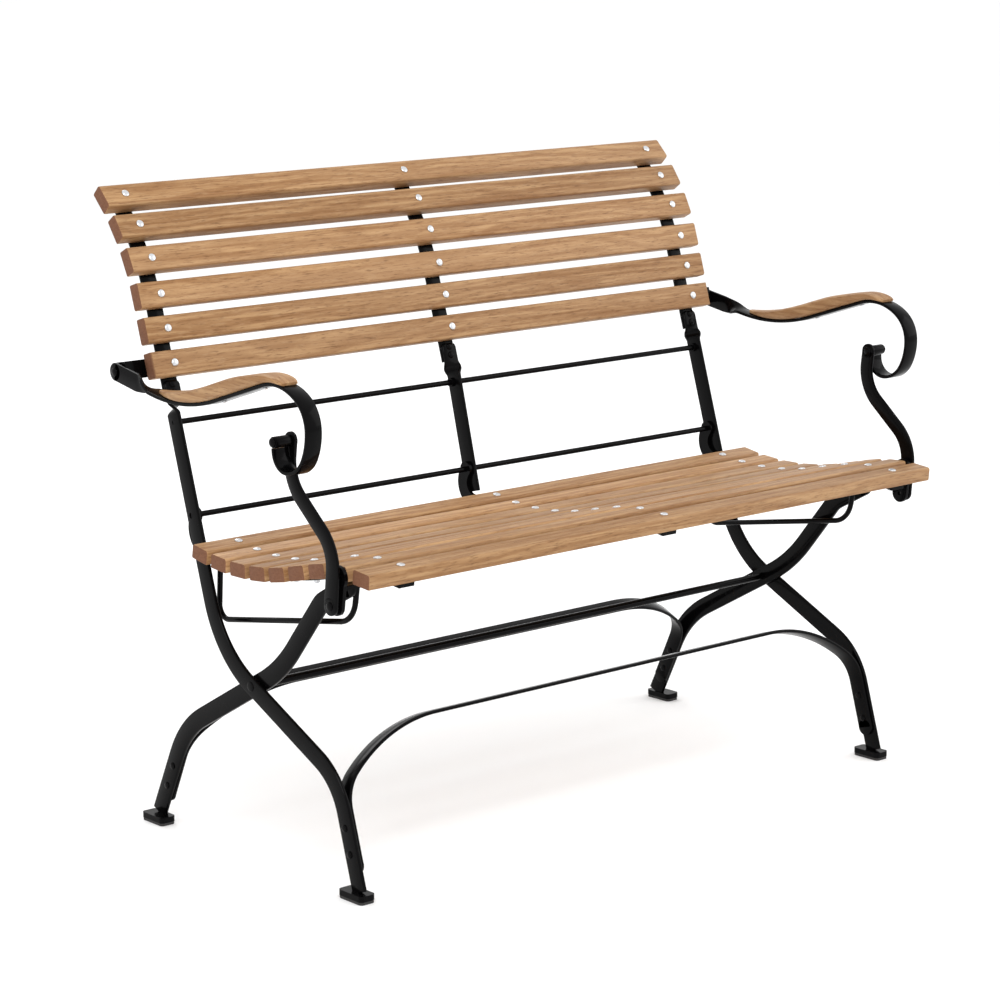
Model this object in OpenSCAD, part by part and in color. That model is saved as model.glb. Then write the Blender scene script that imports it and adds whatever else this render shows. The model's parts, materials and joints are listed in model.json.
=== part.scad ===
// Folding garden bench: flat steel bar frame, hardwood slats on the seat and the back,
// scrolled steel arms with wooden armrests.
// X runs across the bench (+X is the left side of a person sitting on it),
// +Y points to the back, +Z up. The origin is on the ground below the leg crossing.

/* [Slats] */
// Length of every slat
slat_len = 1050; // [900:10:1100]
// Width of a seat slat
seat_slat_w = 34; // [28:1:38]
// Width of a back slat
back_slat_w = 36; // [28:1:40]
// Thickness of the slats
slat_t = 20; // [16:1:22]
// Distance between seat slats, measured on the seat bar
seat_pitch = 44.4; // [42:0.2:45]
// Distance between back slats, measured on the back bar
back_pitch = 47.6; // [44:0.2:50]

/* [Frame] */
// Width of the leg and stile bars
leg_w = 27; // [24:1:30]
// Thickness of the leg and stile bars
leg_t = 6; // [4:0.5:6]
// Distance from the middle of the bench to the middle of a side bar
side_x = 493; // [493:1:520]
// Width of the bars that carry the slats
rail_w = 25; // [20:1:28]
// Thickness of the bars that carry the slats
rail_t = 5; // [3:0.5:5]
// Diameter of the two crossbars
crossbar_d = 8; // [6:1:10]
// Diameter of the rod through the leg crossing
crossing_d = 11; // [8:1:12]
// Diameter of the guide wires below the seat
wire_d = 8; // [6:0.5:8]

/* [Arms] */
// Width of the scrolled arm ribbon
ribbon_w = 25; // [20:1:25]
// Thickness of the scrolled arm ribbon
ribbon_t = 5; // [3:0.5:5]
// Width of the wooden armrest
armrest_w = 34; // [30:1:40]
// Greatest thickness of the wooden armrest
armrest_t = 20; // [14:1:24]
// Width of the arm post
post_w = 22; // [18:1:26]
// Thickness of the arm post
post_t = 5; // [4:0.5:5]

/* [Feet] */
// Length of a foot from front to back
foot_len = 50; // [40:1:60]
// Width of a foot
foot_w = 25; // [20:1:25]
// Height of a foot, with its pad
foot_h = 12; // [8:1:16]
// Height of the pad below a foot
pad_h = 4; // [2:0.5:6]

/* [Fasteners] */
// Diameter of the screw shanks
screw_d = 5; // [4:0.5:6]
// Diameter of the screw heads
head_d = 11; // [9:0.5:12]
// Height of the screw heads
head_h = 2.6; // [2:0.1:3]
// Diameter of the rivet heads
rivet_d = 10; // [8:0.5:12]

/* [Hidden] */
$fn = 48;
SIDES = [-1, 1];
BAR_SIDES = [-1, 0, 1];
STEEL = [0.06, 0.06, 0.065];
OAK = [0.78, 0.58, 0.38];
ZINC = [0.82, 0.83, 0.85];
PAD = [0.1, 0.1, 0.1];
run_gap = 0.05;        // radial clearance of a pin that turns in a bore
slip_gap = 0.2;        // radial clearance of a screw or rivet in its hole
arc_step = 6;          // degrees turned by one facet of a bent bar
facet_len = 17;        // longest facet of a gently curved bar
bed_gap = 0.3;         // gap left where a flat piece lies on a curved bar
nut_gap = 0.2;         // gap left between a nut and a curved bar

// Pivots, as [y, z]
crossing = [0, 244];
seat_hinge = [128, 459];
arm_pivot = [209, 654];
scroll_pin = [-161, 608];
link_pin = [-238, 404];

// Places across the bench
rear_leg_x = side_x - leg_t - 1.5;
seat_bar_x = 461;
side_plate_x = side_x - leg_t / 2 - 0.5 - rail_t / 2;
back_bar_x = 490;
bracket_x = slat_len / 2 + 2 + rail_t / 2;
post_x = bracket_x + rail_t / 2 + 4.5 + post_t / 2;
ribbon_x = post_x + post_t / 2 + 1.5 + ribbon_w / 2;
wire_x = seat_bar_x + rail_t / 2 + wire_d / 2 + 0.1;

// Bent bars, as corners [y, z, bend radius] in the side view
side_bar_corners = [[166, 593, 0], [70, 277, 165], [-185, 155, 100], [-231, 0, 0]];
rear_leg_corners = [[-205, 415, 0], [-147, 384, 40], [-56, 275, 240], [172, 149, 160], [246, 0, 0]];
post_corners = [[scroll_pin[0], scroll_pin[1], 0], [-154, 556, 60], [-246, 478, 60],
                [link_pin[0], link_pin[1], 0]];
wire_corners = [[101, 407.5, 0], [108, 313, 18], [-192, 364, 38], [-202, 424.7, 0]];
hinge_plate_corners = [[98, 411.5, 0], [147, 419, 26], [seat_hinge[0], seat_hinge[1], 0]];

// Bars that carry slats, as start [y, z], heading and moves [length, turn]
seat_start = [95, 410];
seat_heading = 189.5;
seat_moves = [[25, 0], [200, -22.5], [54, 0], [114, 21]];
seat_first = 24;
back_start = [172.5, 612];
back_lean = 17;
back_moves = [[140, 0], [168, -32]];
back_first = 48.5;

// The arm ribbon, from the end of its twist to the eye on the scroll pin
ribbon_start = [118, 637.5];
ribbon_heading = 190.5;
ribbon_moves = [[5, 0], [150, -28], [108, 0], [25, 17], [49, 35], [46, 55], [39, 30], [42, 60],
                [41, 90], [5, 0]];
armrest_from = 16;
armrest_to = 308;
armrest_steps = 28;
armrest_screw_runs = [60, 160, 255];
eye_r = 7.5;
pin_r = 3;
nut_h = 4;
hinge_plate_w = 20;

// Slats whose side screws also clamp a bracket, counted from 0 at the hinge
arm_bracket_slat = 0;
arm_link_slat = 7;
link_plate_top = [-243, 441];

// The stretchers, in the plane of X and the leg, from the lower end of one side
stretcher_start = [side_x - leg_t / 2 - rail_t / 2, 48];
rear_stretcher_start = stretcher_start - [leg_t + 1.5, 0];
stretcher_moves = [[72, 0], [52, 50], [160, 40]];
stretcher_rivets = [62, 97];
front_lean = 16.4;
rear_lean = 25.5;
front_leg_base = -229;
rear_leg_base = 243;

// Runs along the back bars of the stiles' tabs and twists, and of the rivets in the tabs
stile_below = 34;
tab_len = 27;
stile_twist = [-20.5, -0.5];
tab_rivets = [9, 21.5];

upper_crossbar = [163, 583];
front_foot_y = -221;
rear_foot_y = 233;

function unit(v) = v / norm(v);
function turned(v, a) = [v[0] * cos(a) - v[1] * sin(a), v[0] * sin(a) + v[1] * cos(a)];
function turn_at(u, v) = atan2(u[0] * v[1] - u[1] * v[0], u * v);
function yz(c) = [c[0], c[1]];

// Points of the arc that rounds the corner b between a and c
function corner_arc(a, b, c, r) =
    let (u = unit(b - a), v = unit(c - b), ang = turn_at(u, v))
    let (n = max(2, ceil(abs(ang) / arc_step)), start = b - u * r * tan(abs(ang) / 2))
    let (centre = start + sign(ang) * r * [-u[1], u[0]])
    [for (k = [0:n]) centre + turned(start - centre, ang * k / n)];

// Points of a bar bent at its corners
function bent(corners) = [
    for (i = [0:len(corners) - 1])
        each (i == 0 || i == len(corners) - 1)
            ? [yz(corners[i])]
            : corner_arc(yz(corners[i - 1]), yz(corners[i]), yz(corners[i + 1]), corners[i][2])
];

// Place [y, z, heading] after a run s along one move that starts at p with heading h
function after(p, h, move, s) =
    move[1] == 0
        ? [p[0] + s * cos(h), p[1] + s * sin(h), h]
        : let (r = move[0] * 180 / PI / move[1], a = h + move[1] * s / move[0])
          [p[0] + r * (sin(a) - sin(h)), p[1] + r * (cos(h) - cos(a)), a];

// Place [y, z, heading] at distance s along a list of moves
function station(p, h, moves, s, i = 0) =
    (s <= moves[i][0] || i == len(moves) - 1)
        ? after(p, h, moves[i], s)
        : let (e = after(p, h, moves[i], moves[i][0]))
          station([e[0], e[1]], e[2], moves, s - moves[i][0], i + 1);

function before(moves, i) = i == 0 ? 0 : moves[i - 1][0] + before(moves, i - 1);

// Points along all the moves, close enough together to draw the arcs
function walked(p, h, moves) = [
    for (i = [0:len(moves) - 1])
        let (curved = moves[i][1] != 0)
        let (n = curved ? max(ceil(abs(moves[i][1]) / arc_step), ceil(moves[i][0] / facet_len)) : 1)
            for (k = [(i == 0 ? 0 : 1):n])
                yz(station(p, h, moves, before(moves, i) + moves[i][0] * k / n))
];

function normal_at(pts, i) =
    let (d = unit(pts[min(i + 1, len(pts) - 1)] - pts[max(i - 1, 0)]))
    [-d[1], d[0]];

function seat_station(s) = station(seat_start, seat_heading, seat_moves, s);
function back_station(s) =
    let (st = station(back_start, 90 - back_lean, back_moves, s))
    [st[0], st[1], st[2] + 180];
function ribbon_station(s) = station(ribbon_start, ribbon_heading, ribbon_moves, s);
function seat_slat_at(i) = seat_station(seat_first + i * seat_pitch);
function back_slat_at(i) = back_station(back_first + i * back_pitch);
seat_stations = [for (i = [0:8]) seat_slat_at(i)];
back_stations = [for (i = [0:5]) back_slat_at(i)];

// Turns a drawing of [y, z] into a plate of thickness t whose middle is at x
module side_plate(x, t) {
    translate([x, 0, 0])
        rotate([90, 0, 90])
            linear_extrude(t, center = true)
                children();
}

// A strip of width w that follows the points
module strip(pts, w) {
    last = len(pts) - 1;
    polygon([
        for (i = [0:last]) pts[i] + normal_at(pts, i) * w / 2,
        for (i = [last:-1:0]) pts[i] - normal_at(pts, i) * w / 2
    ]);
}

// A cylinder along X, centred at x on the point [y, z]
module cross_pin(x, p, r, length) {
    translate([x, p[0], p[1]])
        rotate([0, 90, 0])
            cylinder(r = r, h = length, center = true);
}

// Puts a child on a station, its X across the bench and its Z towards the sitter
module on_station(x, st) {
    translate([x, st[0], st[1]])
        rotate([st[2] - 180, 0, 0])
            children();
}

// A pan head whose flat side is at z = 0
module pan_head(d, h) {
    rotate_extrude()
        polygon([
            [0, 0], [d / 2, 0], [d / 2, h * 0.3],
            for (a = [15:15:75]) [d / 2 * cos(a), h * (0.3 + 0.7 * sin(a))],
            [0, h]
        ]);
}

// A screw with its head on top at z = 0 and its shank downwards
module screw(length) {
    pan_head(head_d, head_h);
    translate([0, 0, -length])
        cylinder(d = screw_d, h = length + head_h / 2);
}

module nut() {
    difference() {
        cylinder(d = screw_d * 1.8, h = nut_h, $fn = 6);
        translate([0, 0, -1])
            cylinder(d = screw_d + 2 * run_gap, h = nut_h + 2);
    }
}

// A rivet along X through a pack of the given thickness, heads outside
module rivet(x, p, pack, d = rivet_d, shank = 5) {
    cross_pin(x, p, shank / 2, pack + 1);
    for (s = SIDES)
        translate([x + s * pack / 2, p[0], p[1]])
            rotate([0, s * 90, 0])
                pan_head(d, 2.6);
}

// ---- Slats ----

// Cross-section of a slat: its top is at y = slat_t, with well-rounded upper edges
module slat_section(w, top_r = 4, low_r = 2.5) {
    corners = [
        [w / 2 - top_r, slat_t - top_r, top_r, 0],
        [-w / 2 + top_r, slat_t - top_r, top_r, 90],
        [-w / 2 + low_r, low_r, low_r, 180],
        [w / 2 - low_r, low_r, low_r, 270]
    ];
    polygon([
        for (c = corners)
            for (a = [0:15:90]) [c[0] + c[2] * cos(c[3] + a), c[1] + c[2] * sin(c[3] + a)]
    ]);
}

// A slat lying on a bar's station, with a hole at each bar
module slat(st, w, bar_x) {
    on_station(0, st)
        difference() {
            translate([0, 0, rail_t / 2 + bed_gap])
                rotate([90, 0, 90])
                    linear_extrude(slat_len, center = true)
                        slat_section(w);
            for (x = BAR_SIDES)
                translate([x * bar_x, 0, 0])
                    cylinder(d = screw_d + 2 * slip_gap, h = 80, center = true);
        }
}

module seat_slat(i) {
    color(OAK) slat(seat_slat_at(i), seat_slat_w, seat_bar_x);
}

module back_slat(i) {
    color(OAK) slat(back_slat_at(i), back_slat_w, back_bar_x);
}

// Steel clamped below a bar by the side screws of the slat that holds a bracket
function bracket_pack(i, bracket_slat, x) = (i == bracket_slat && x != 0) ? rail_t + bed_gap : 0;

// Screws through one set of slats
module slat_screws(stations, bar_x, bracket_slat) {
    for (i = [0:len(stations) - 1])
        for (x = BAR_SIDES)
            on_station(x * bar_x, stations[i])
                translate([0, 0, rail_t / 2 + bed_gap + slat_t])
                    screw(slat_t + rail_t + nut_h + 1.5 + bracket_pack(i, bracket_slat, x));
}

module slat_nuts(stations, bar_x, bracket_slat) {
    for (i = [0:len(stations) - 1])
        for (x = BAR_SIDES)
            on_station(x * bar_x, stations[i])
                translate([0, 0, -rail_t / 2 - nut_gap - nut_h - bracket_pack(i, bracket_slat, x)])
                    nut();
}

module back_screws() { color(ZINC) slat_screws(back_stations, back_bar_x, arm_bracket_slat); }
module back_nuts() { color(ZINC) slat_nuts(back_stations, back_bar_x, arm_bracket_slat); }
module seat_screws() { color(ZINC) slat_screws(seat_stations, seat_bar_x, arm_link_slat); }
module seat_nuts() { color(ZINC) slat_nuts(seat_stations, seat_bar_x, arm_link_slat); }

module screw_holes(stations, x) {
    for (st = stations)
        on_station(x, st)
            cylinder(d = screw_d + 2 * slip_gap, h = 4 * rail_t, center = true);
}

// ---- Back bars and stiles ----

// Place in front of the back bar at run s, where the centre stile's tab lies
function tab_at(s) =
    let (st = back_station(s))
    [st[0] - rail_t * cos(back_lean), st[1] + rail_t * sin(back_lean)];

module tab_holes(x) {
    for (s = tab_rivets)
        on_station(x, back_station(s))
            cylinder(d = 5, h = 6 * rail_t, center = true);
}

// A flat bar turned edge-on: wide across the bench at the top, wide in side view below
module quarter_twist(top_x, top, low_x, low) {
    up = unit(top - low);
    hull() {
        side_plate(top_x, rail_w)
            strip([top - up, top], rail_t);
        side_plate(low_x, leg_t)
            strip([low, low + up], leg_w);
    }
}

module back_bar(x) {
    color(STEEL)
        difference() {
            side_plate(x, rail_w)
                strip(walked(back_start, 90 - back_lean, back_moves), rail_t);
            screw_holes(back_stations, x);
            tab_holes(x);
        }
}

module left_back_bar() { back_bar(-back_bar_x); }
module centre_back_bar() { back_bar(0); }
module right_back_bar() { back_bar(back_bar_x); }

// The tab at the top of a stile, in front of the back bar's lower end
module stile_tab(x) {
    difference() {
        side_plate(x, rail_w)
            strip([tab_at(stile_twist[1] - 0.5), tab_at(tab_len)], rail_t);
        tab_holes(x);
    }
}

// Holes for the two crossbars in a stile
module crossbar_holes(x) {
    for (p = [upper_crossbar, seat_hinge])
        cross_pin(x, p, crossbar_d / 2, 4 * leg_t);
}

// Below the twist: stile and leg in one bent bar
module side_bar_leg(x) {
    difference() {
        side_plate(x, leg_t)
            strip(bent(side_bar_corners), leg_w);
        translate([x, 0, foot_h - 50])
            cube([60, 1200, 100], center = true);
        crossbar_holes(x);
        cross_pin(x, crossing, crossing_d / 2, 4 * leg_t);
        for (d = stretcher_rivets)
            cross_pin(x, front_leg_point(d), 2.5, 4 * leg_t);
    }
}

// One bar from the foot to the tab below the back slats, with a quarter twist under the tab
module side_bar(s) {
    color(STEEL) {
        side_bar_leg(s * side_x);
        quarter_twist(s * back_bar_x, tab_at(stile_twist[1]), s * side_x, yz(side_bar_corners[0]));
        stile_tab(s * back_bar_x);
    }
}

module left_side_bar() { side_bar(-1); }
module right_side_bar() { side_bar(1); }

module centre_stile() {
    low = tab_at(stile_twist[0]);
    up = unit(low - seat_hinge);
    color(STEEL) {
        stile_tab(0);
        quarter_twist(0, tab_at(stile_twist[1]), 0, low);
        difference() {
            side_plate(0, leg_t)
                strip([low + up, seat_hinge - stile_below * up], leg_w);
            crossbar_holes(0);
        }
    }
}

// ---- Rods ----

module crossbar(p) {
    color(STEEL) cross_pin(0, p, crossbar_d / 2, 2 * side_x + leg_t);
}

module upper_crossbar_rod() { crossbar(upper_crossbar); }
module lower_crossbar_rod() { crossbar(seat_hinge); }

module crossing_rod() {
    color(STEEL) {
        cross_pin(0, crossing, crossing_d / 2, 2 * side_x + leg_t);
        for (s = SIDES)
            translate([s * (side_x + leg_t / 2), crossing[0], crossing[1]])
                rotate([0, s * 90, 0])
                    pan_head(14, 1.5);
    }
}

// A ring around a rod
module ring(x, p, rod_d, ring_d, length) {
    difference() {
        cross_pin(x, p, ring_d / 2, length);
        cross_pin(x, p, rod_d / 2 + run_gap, length + 2);
    }
}

// Collars where the crossbars meet the stiles, and spacers at the leg crossing
module collars() {
    color(STEEL) {
        for (s = SIDES) {
            ring(s * (side_x - leg_t / 2 - 0.75), crossing, crossing_d, 24, 1.5 - 2 * slip_gap);
            ring(s * (side_x - leg_t / 2 - 2), upper_crossbar, crossbar_d, 13, 4);
            ring(s * (leg_t / 2 + 2), upper_crossbar, crossbar_d, 13, 4);
        }
        ring(leg_t / 2 + 2, seat_hinge, crossbar_d, 13, 4);
    }
}

// ---- Stretchers ----

function front_leg_point(d) = [front_leg_base + d * sin(front_lean), d * cos(front_lean)];
function rear_leg_point(d) = [rear_leg_base - d * sin(rear_lean), d * cos(rear_lean)];

function half_stretcher(start) =
    let (half = walked(start, 90, stretcher_moves))
    concat(half, [for (i = [len(half) - 1:-1:0]) [-half[i][0], half[i][1]]]);

// An arched flat bar between two legs, its ends up the legs' inner faces
module stretcher(base, lean, start) {
    color(STEEL)
        translate([0, base, 0])
            rotate([lean, 0, 0])
                difference() {
                    union() {
                        rotate([90, 0, 0])
                            linear_extrude(rail_w, center = true)
                                strip(half_stretcher(start), rail_t);
                        for (s = SIDES)
                            translate([s * start[0], 0, start[1]])
                                rotate([0, 90, 0])
                                    cylinder(d = rail_w, h = rail_t, center = true);
                    }
                    for (d = stretcher_rivets)
                        translate([0, 0, d])
                            rotate([0, 90, 0])
                                cylinder(r = 2.5, h = 2 * side_x + 20, center = true);
                }
}

module front_stretcher() { stretcher(front_leg_base, -front_lean, stretcher_start); }
module rear_stretcher() { stretcher(rear_leg_base, rear_lean, rear_stretcher_start); }

module stretcher_rivet_set(x, points) {
    for (s = SIDES)
        for (p = points)
            rivet(s * (x - rail_t / 2), p, leg_t + rail_t);
}

// Rivets of the fixed frame: stretcher to legs, and back bars to the stiles' tabs
module frame_rivets() {
    color(STEEL) {
        stretcher_rivet_set(side_x, [for (d = stretcher_rivets) front_leg_point(d)]);
        for (b = BAR_SIDES)
            for (s = tab_rivets)
                on_station(b * back_bar_x, back_station(s)) {
                    translate([0, 0, 1.5 * rail_t])
                        pan_head(rivet_d, 2.5);
                    translate([0, 0, -0.5 * rail_t - 1])
                        cylinder(d = 5, h = 2 * rail_t + 2);
                    translate([0, 0, -0.5 * rail_t])
                        mirror([0, 0, 1])
                            pan_head(rivet_d, 2.5);
                }
    }
}

module rear_leg_rivets() {
    color(STEEL)
        stretcher_rivet_set(rear_leg_x, [for (d = stretcher_rivets) rear_leg_point(d)]);
}

// ---- Feet ----

module foot_outline(grow = 0) {
    r = 6;
    for (x = SIDES)
        for (y = SIDES)
            translate([x * (foot_w / 2 - r), y * (foot_len / 2 - r)])
                circle(r + grow);
    square([foot_w - 2 * r, foot_len + 2 * grow], center = true);
    square([foot_w + 2 * grow, foot_len - 2 * r], center = true);
}

module steel_feet(y) {
    color(STEEL)
        for (s = SIDES)
            translate([s * side_x, y, pad_h])
                linear_extrude(foot_h - pad_h)
                    foot_outline();
}

module pads(y) {
    color(PAD)
        for (s = SIDES)
            translate([s * side_x, y, 0])
                linear_extrude(pad_h)
                    foot_outline(-0.6);
}

module front_feet() { steel_feet(front_foot_y); }
module rear_feet() { steel_feet(rear_foot_y); }
module front_foot_pads() { pads(front_foot_y); }
module rear_foot_pads() { pads(rear_foot_y); }

// ---- Rear legs ----

module rear_leg(s) {
    x = s * rear_leg_x;
    color(STEEL)
        difference() {
            union() {
                side_plate(x, leg_t)
                    strip(bent(rear_leg_corners), leg_w);
                cross_pin(x, yz(rear_leg_corners[0]), leg_w / 2, leg_t);
            }
            translate([x, 0, foot_h - 50])
                cube([60, 1200, 100], center = true);
            cross_pin(x, crossing, crossing_d / 2 + run_gap, 4 * leg_t);
            cross_pin(x, yz(rear_leg_corners[0]), 4, 4 * leg_t);
            for (d = stretcher_rivets)
                cross_pin(x, rear_leg_point(d), 2.5, 4 * leg_t);
        }
}

module left_rear_leg() { rear_leg(-1); }
module right_rear_leg() { rear_leg(1); }

// Short pins at the tips of the rear legs, on which the seat's guides bear
module slide_pins() {
    color(STEEL)
        for (s = SIDES)
            cross_pin(s * (rear_leg_x - 2.5), yz(rear_leg_corners[0]), 4, leg_t + 7);
}

// ---- Seat ----

// A bar below the seat slats. Its rear end reaches across to an upright hinge plate at plate_x
module seat_bar(x, plate_x) {
    foot_from = min(x - rail_w / 2, plate_x - rail_t / 2);
    foot_to = max(x + rail_w / 2, plate_x + rail_t / 2);
    color(STEEL)
        difference() {
            union() {
                on_station((foot_from + foot_to) / 2, seat_station(-5))
                    cube([foot_to - foot_from, 20, rail_t], center = true);
                side_plate(x, rail_w)
                    strip(walked(seat_start, seat_heading, seat_moves), rail_t);
                side_plate(plate_x, rail_t)
                    strip(bent(hinge_plate_corners), hinge_plate_w);
                cross_pin(plate_x, seat_hinge, hinge_plate_w / 2 + 1, rail_t);
            }
            screw_holes(seat_stations, x);
            cross_pin(plate_x, seat_hinge, crossbar_d / 2 + run_gap, 4 * rail_t);
        }
}

module left_seat_bar() { seat_bar(-seat_bar_x, -side_plate_x); }
module centre_seat_bar() { seat_bar(0, -(leg_t + rail_t) / 2 - 1); }
module right_seat_bar() { seat_bar(seat_bar_x, side_plate_x); }

// A round rod bent at its corners, in the side plane at x. Each straight run reaches
// a little into the bends, which are drawn a hair thinner, so that they join cleanly
module bent_rod(x, corners, d) {
    n = len(corners) - 1;
    points = [for (c = corners) yz(c)];
    dirs = [for (i = [0:n - 1]) unit(points[i + 1] - points[i])];
    turns = [for (i = [0:n]) (i == 0 || i == n) ? 0 : turn_at(dirs[i - 1], dirs[i])];
    trims = [for (i = [0:n]) corners[i][2] * tan(abs(turns[i]) / 2)];
    translate([x, 0, 0])
        rotate([90, 0, 90]) {
            for (i = [0:n - 1]) {
                from = points[i] + dirs[i] * (trims[i] - (i == 0 ? 0 : 1));
                to = points[i + 1] - dirs[i] * (trims[i + 1] - (i == n - 1 ? 0 : 1));
                translate([from[0], from[1], 0])
                    rotate([0, 90, atan2(dirs[i][1], dirs[i][0])])
                        cylinder(d = d, h = norm(to - from));
            }
            for (i = [1:n - 1]) {
                r = corners[i][2];
                start = points[i] - dirs[i - 1] * trims[i];
                inward = sign(turns[i]) * [-dirs[i - 1][1], dirs[i - 1][0]];
                centre = start + inward * r;
                first = atan2(-inward[1], -inward[0]) + (turns[i] < 0 ? turns[i] : 0);
                translate([centre[0], centre[1], 0])
                    rotate([0, 0, first])
                        rotate_extrude(angle = abs(turns[i]))
                            translate([r, 0])
                                circle(d = d - 0.2);
            }
        }
}

module guide_wires() {
    color(STEEL)
        for (s = SIDES)
            bent_rod(s * wire_x, wire_corners, wire_d);
}

// Strip clamped below a seat bar, with an upright plate outside the slats for the post
module arm_link(s) {
    outer_x = bracket_x + rail_t / 2;
    inner_x = seat_bar_x - rail_w / 2;
    st = seat_slat_at(arm_link_slat);
    color(STEEL)
        difference() {
            union() {
                on_station(s * (outer_x + inner_x) / 2, st)
                    translate([0, 0, -rail_t - bed_gap])
                        cube([outer_x - inner_x, leg_w, rail_t], center = true);
                side_plate(s * bracket_x, rail_t)
                    strip([link_plate_top, link_pin], leg_w);
                cross_pin(s * bracket_x, link_plate_top, leg_w / 2 + 2, rail_t);
                cross_pin(s * bracket_x, link_pin, leg_w / 2, rail_t);
            }
            on_station(s * seat_bar_x, st)
                cylinder(d = screw_d + 2 * slip_gap, h = 6 * rail_t, center = true);
            cross_pin(s * bracket_x, link_pin, pin_r, 4 * rail_t);
        }
}

module left_arm_link() { arm_link(-1); }
module right_arm_link() { arm_link(1); }

// ---- Arms ----

// Strip clamped behind a back bar, with a tab turned back to carry the arm's pivot
module arm_bracket(s) {
    st = back_slat_at(arm_bracket_slat);
    back = [st[0] + rail_t * cos(back_lean), st[1] - rail_t * sin(back_lean)];
    tab_x = ribbon_x - ribbon_t / 2 - rail_t / 2 - 0.5;
    outer_x = tab_x + rail_t / 2;
    inner_x = back_bar_x - rail_w / 2;
    color(STEEL)
        difference() {
            union() {
                on_station(s * (outer_x + inner_x) / 2, st)
                    translate([0, 0, -rail_t - bed_gap])
                        cube([outer_x - inner_x, rail_w, rail_t], center = true);
                side_plate(s * tab_x, rail_t)
                    strip([back, arm_pivot], rail_w);
                cross_pin(s * tab_x, arm_pivot, rail_w / 2, rail_t);
            }
            on_station(s * back_bar_x, st)
                cylinder(d = screw_d + 2 * slip_gap, h = 6 * rail_t, center = true);
            cross_pin(s * tab_x, arm_pivot, pin_r, 4 * rail_t);
        }
}

module left_arm_bracket() { arm_bracket(-1); }
module right_arm_bracket() { arm_bracket(1); }

// Rivets on which the arms swing, fixed in the arm brackets
module arm_pivot_rivets() {
    color(STEEL)
        for (s = SIDES)
            rivet(s * (ribbon_x - rail_t / 2 - 0.25), arm_pivot, 2 * rail_t + 1, 12, 2 * pin_r);
}

module armrest_screw_holes(x, length) {
    for (s = armrest_screw_runs)
        on_station(x, ribbon_station(s))
            translate([0, 0, -ribbon_t])
                cylinder(d = 4 + 2 * slip_gap, h = length);
}

// The arm: an upright end on its pivot, a quarter twist, the wave and the scroll
module arm_ribbon(s) {
    x = s * ribbon_x;
    away = unit(ribbon_start - arm_pivot);
    twist_from = arm_pivot + away * 52;
    color(STEEL)
        difference() {
            union() {
                side_plate(x, ribbon_t)
                    strip([arm_pivot, twist_from + away], ribbon_w);
                cross_pin(x, arm_pivot, ribbon_w / 2, ribbon_t);
                hull() {
                    side_plate(x, ribbon_t)
                        strip([twist_from, twist_from + away], ribbon_w);
                    side_plate(x, 16)
                        strip([twist_from + 20 * away, twist_from + 21 * away], 16);
                }
                hull() {
                    side_plate(x, 16)
                        strip([twist_from + 20 * away, twist_from + 21 * away], 16);
                    side_plate(x, ribbon_w)
                        strip([ribbon_start, ribbon_start + away], ribbon_t);
                }
                side_plate(x, ribbon_w)
                    strip(walked(ribbon_start, ribbon_heading, ribbon_moves), ribbon_t);
                cross_pin(x, scroll_pin, eye_r, ribbon_w);
            }
            cross_pin(x, arm_pivot, pin_r + run_gap, 4 * ribbon_t);
            cross_pin(x, scroll_pin, pin_r + run_gap, ribbon_w + 2);
            armrest_screw_holes(x, 2 * ribbon_t);
        }
}

module left_arm_ribbon() { arm_ribbon(-1); }
module right_arm_ribbon() { arm_ribbon(1); }

// Thickness of the armrest at a share u of its length: thin at the back, rounded in front
function armrest_thickness(u) =
    let (swell = u < 0.5 ? 0.25 + 0.75 * sin(180 * u) : 1)
    let (nose = u > 0.6 ? 1 - 0.82 * pow((u - 0.6) / 0.4, 1.6) : 1)
    armrest_t * swell * nose;

// Point of the armrest at a share u of its length, a height up from the ribbon's face
function armrest_point(u, height) =
    let (st = ribbon_station(armrest_from + (armrest_to - armrest_from) * u))
    yz(st) + (ribbon_t / 2 + height) * [sin(st[2]), -cos(st[2])];

module armrest(s) {
    shares = [for (k = [0:armrest_steps]) k / armrest_steps];
    lower = [for (u = shares) armrest_point(u, bed_gap)];
    upper = [for (k = [armrest_steps:-1:0]) armrest_point(shares[k], bed_gap + armrest_thickness(shares[k]))];
    color(OAK)
        difference() {
            side_plate(s * ribbon_x, armrest_w)
                polygon(concat(lower, upper));
            armrest_screw_holes(s * ribbon_x, ribbon_t + 15);
        }
}

module left_armrest() { armrest(-1); }
module right_armrest() { armrest(1); }

module armrest_screws(s) {
    color(ZINC)
        for (run = armrest_screw_runs)
            on_station(s * ribbon_x, ribbon_station(run))
                translate([0, 0, -ribbon_t / 2 - bed_gap]) {
                    mirror([0, 0, 1])
                        pan_head(8, 2);
                    cylinder(d = 4, h = ribbon_t + 8);
                }
}

module left_armrest_screws() { armrest_screws(-1); }
module right_armrest_screws() { armrest_screws(1); }

// The S-shaped post between the scroll and the seat
module post(s) {
    x = s * post_x;
    color(STEEL)
        difference() {
            union() {
                side_plate(x, post_t)
                    strip(bent(post_corners), post_w);
                cross_pin(x, scroll_pin, post_w / 2, post_t);
                cross_pin(x, link_pin, post_w / 2 + 1, post_t);
            }
            for (p = [scroll_pin, link_pin])
                cross_pin(x, p, pin_r, 4 * post_t);
        }
}

module left_post() { post(-1); }
module right_post() { post(1); }

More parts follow.
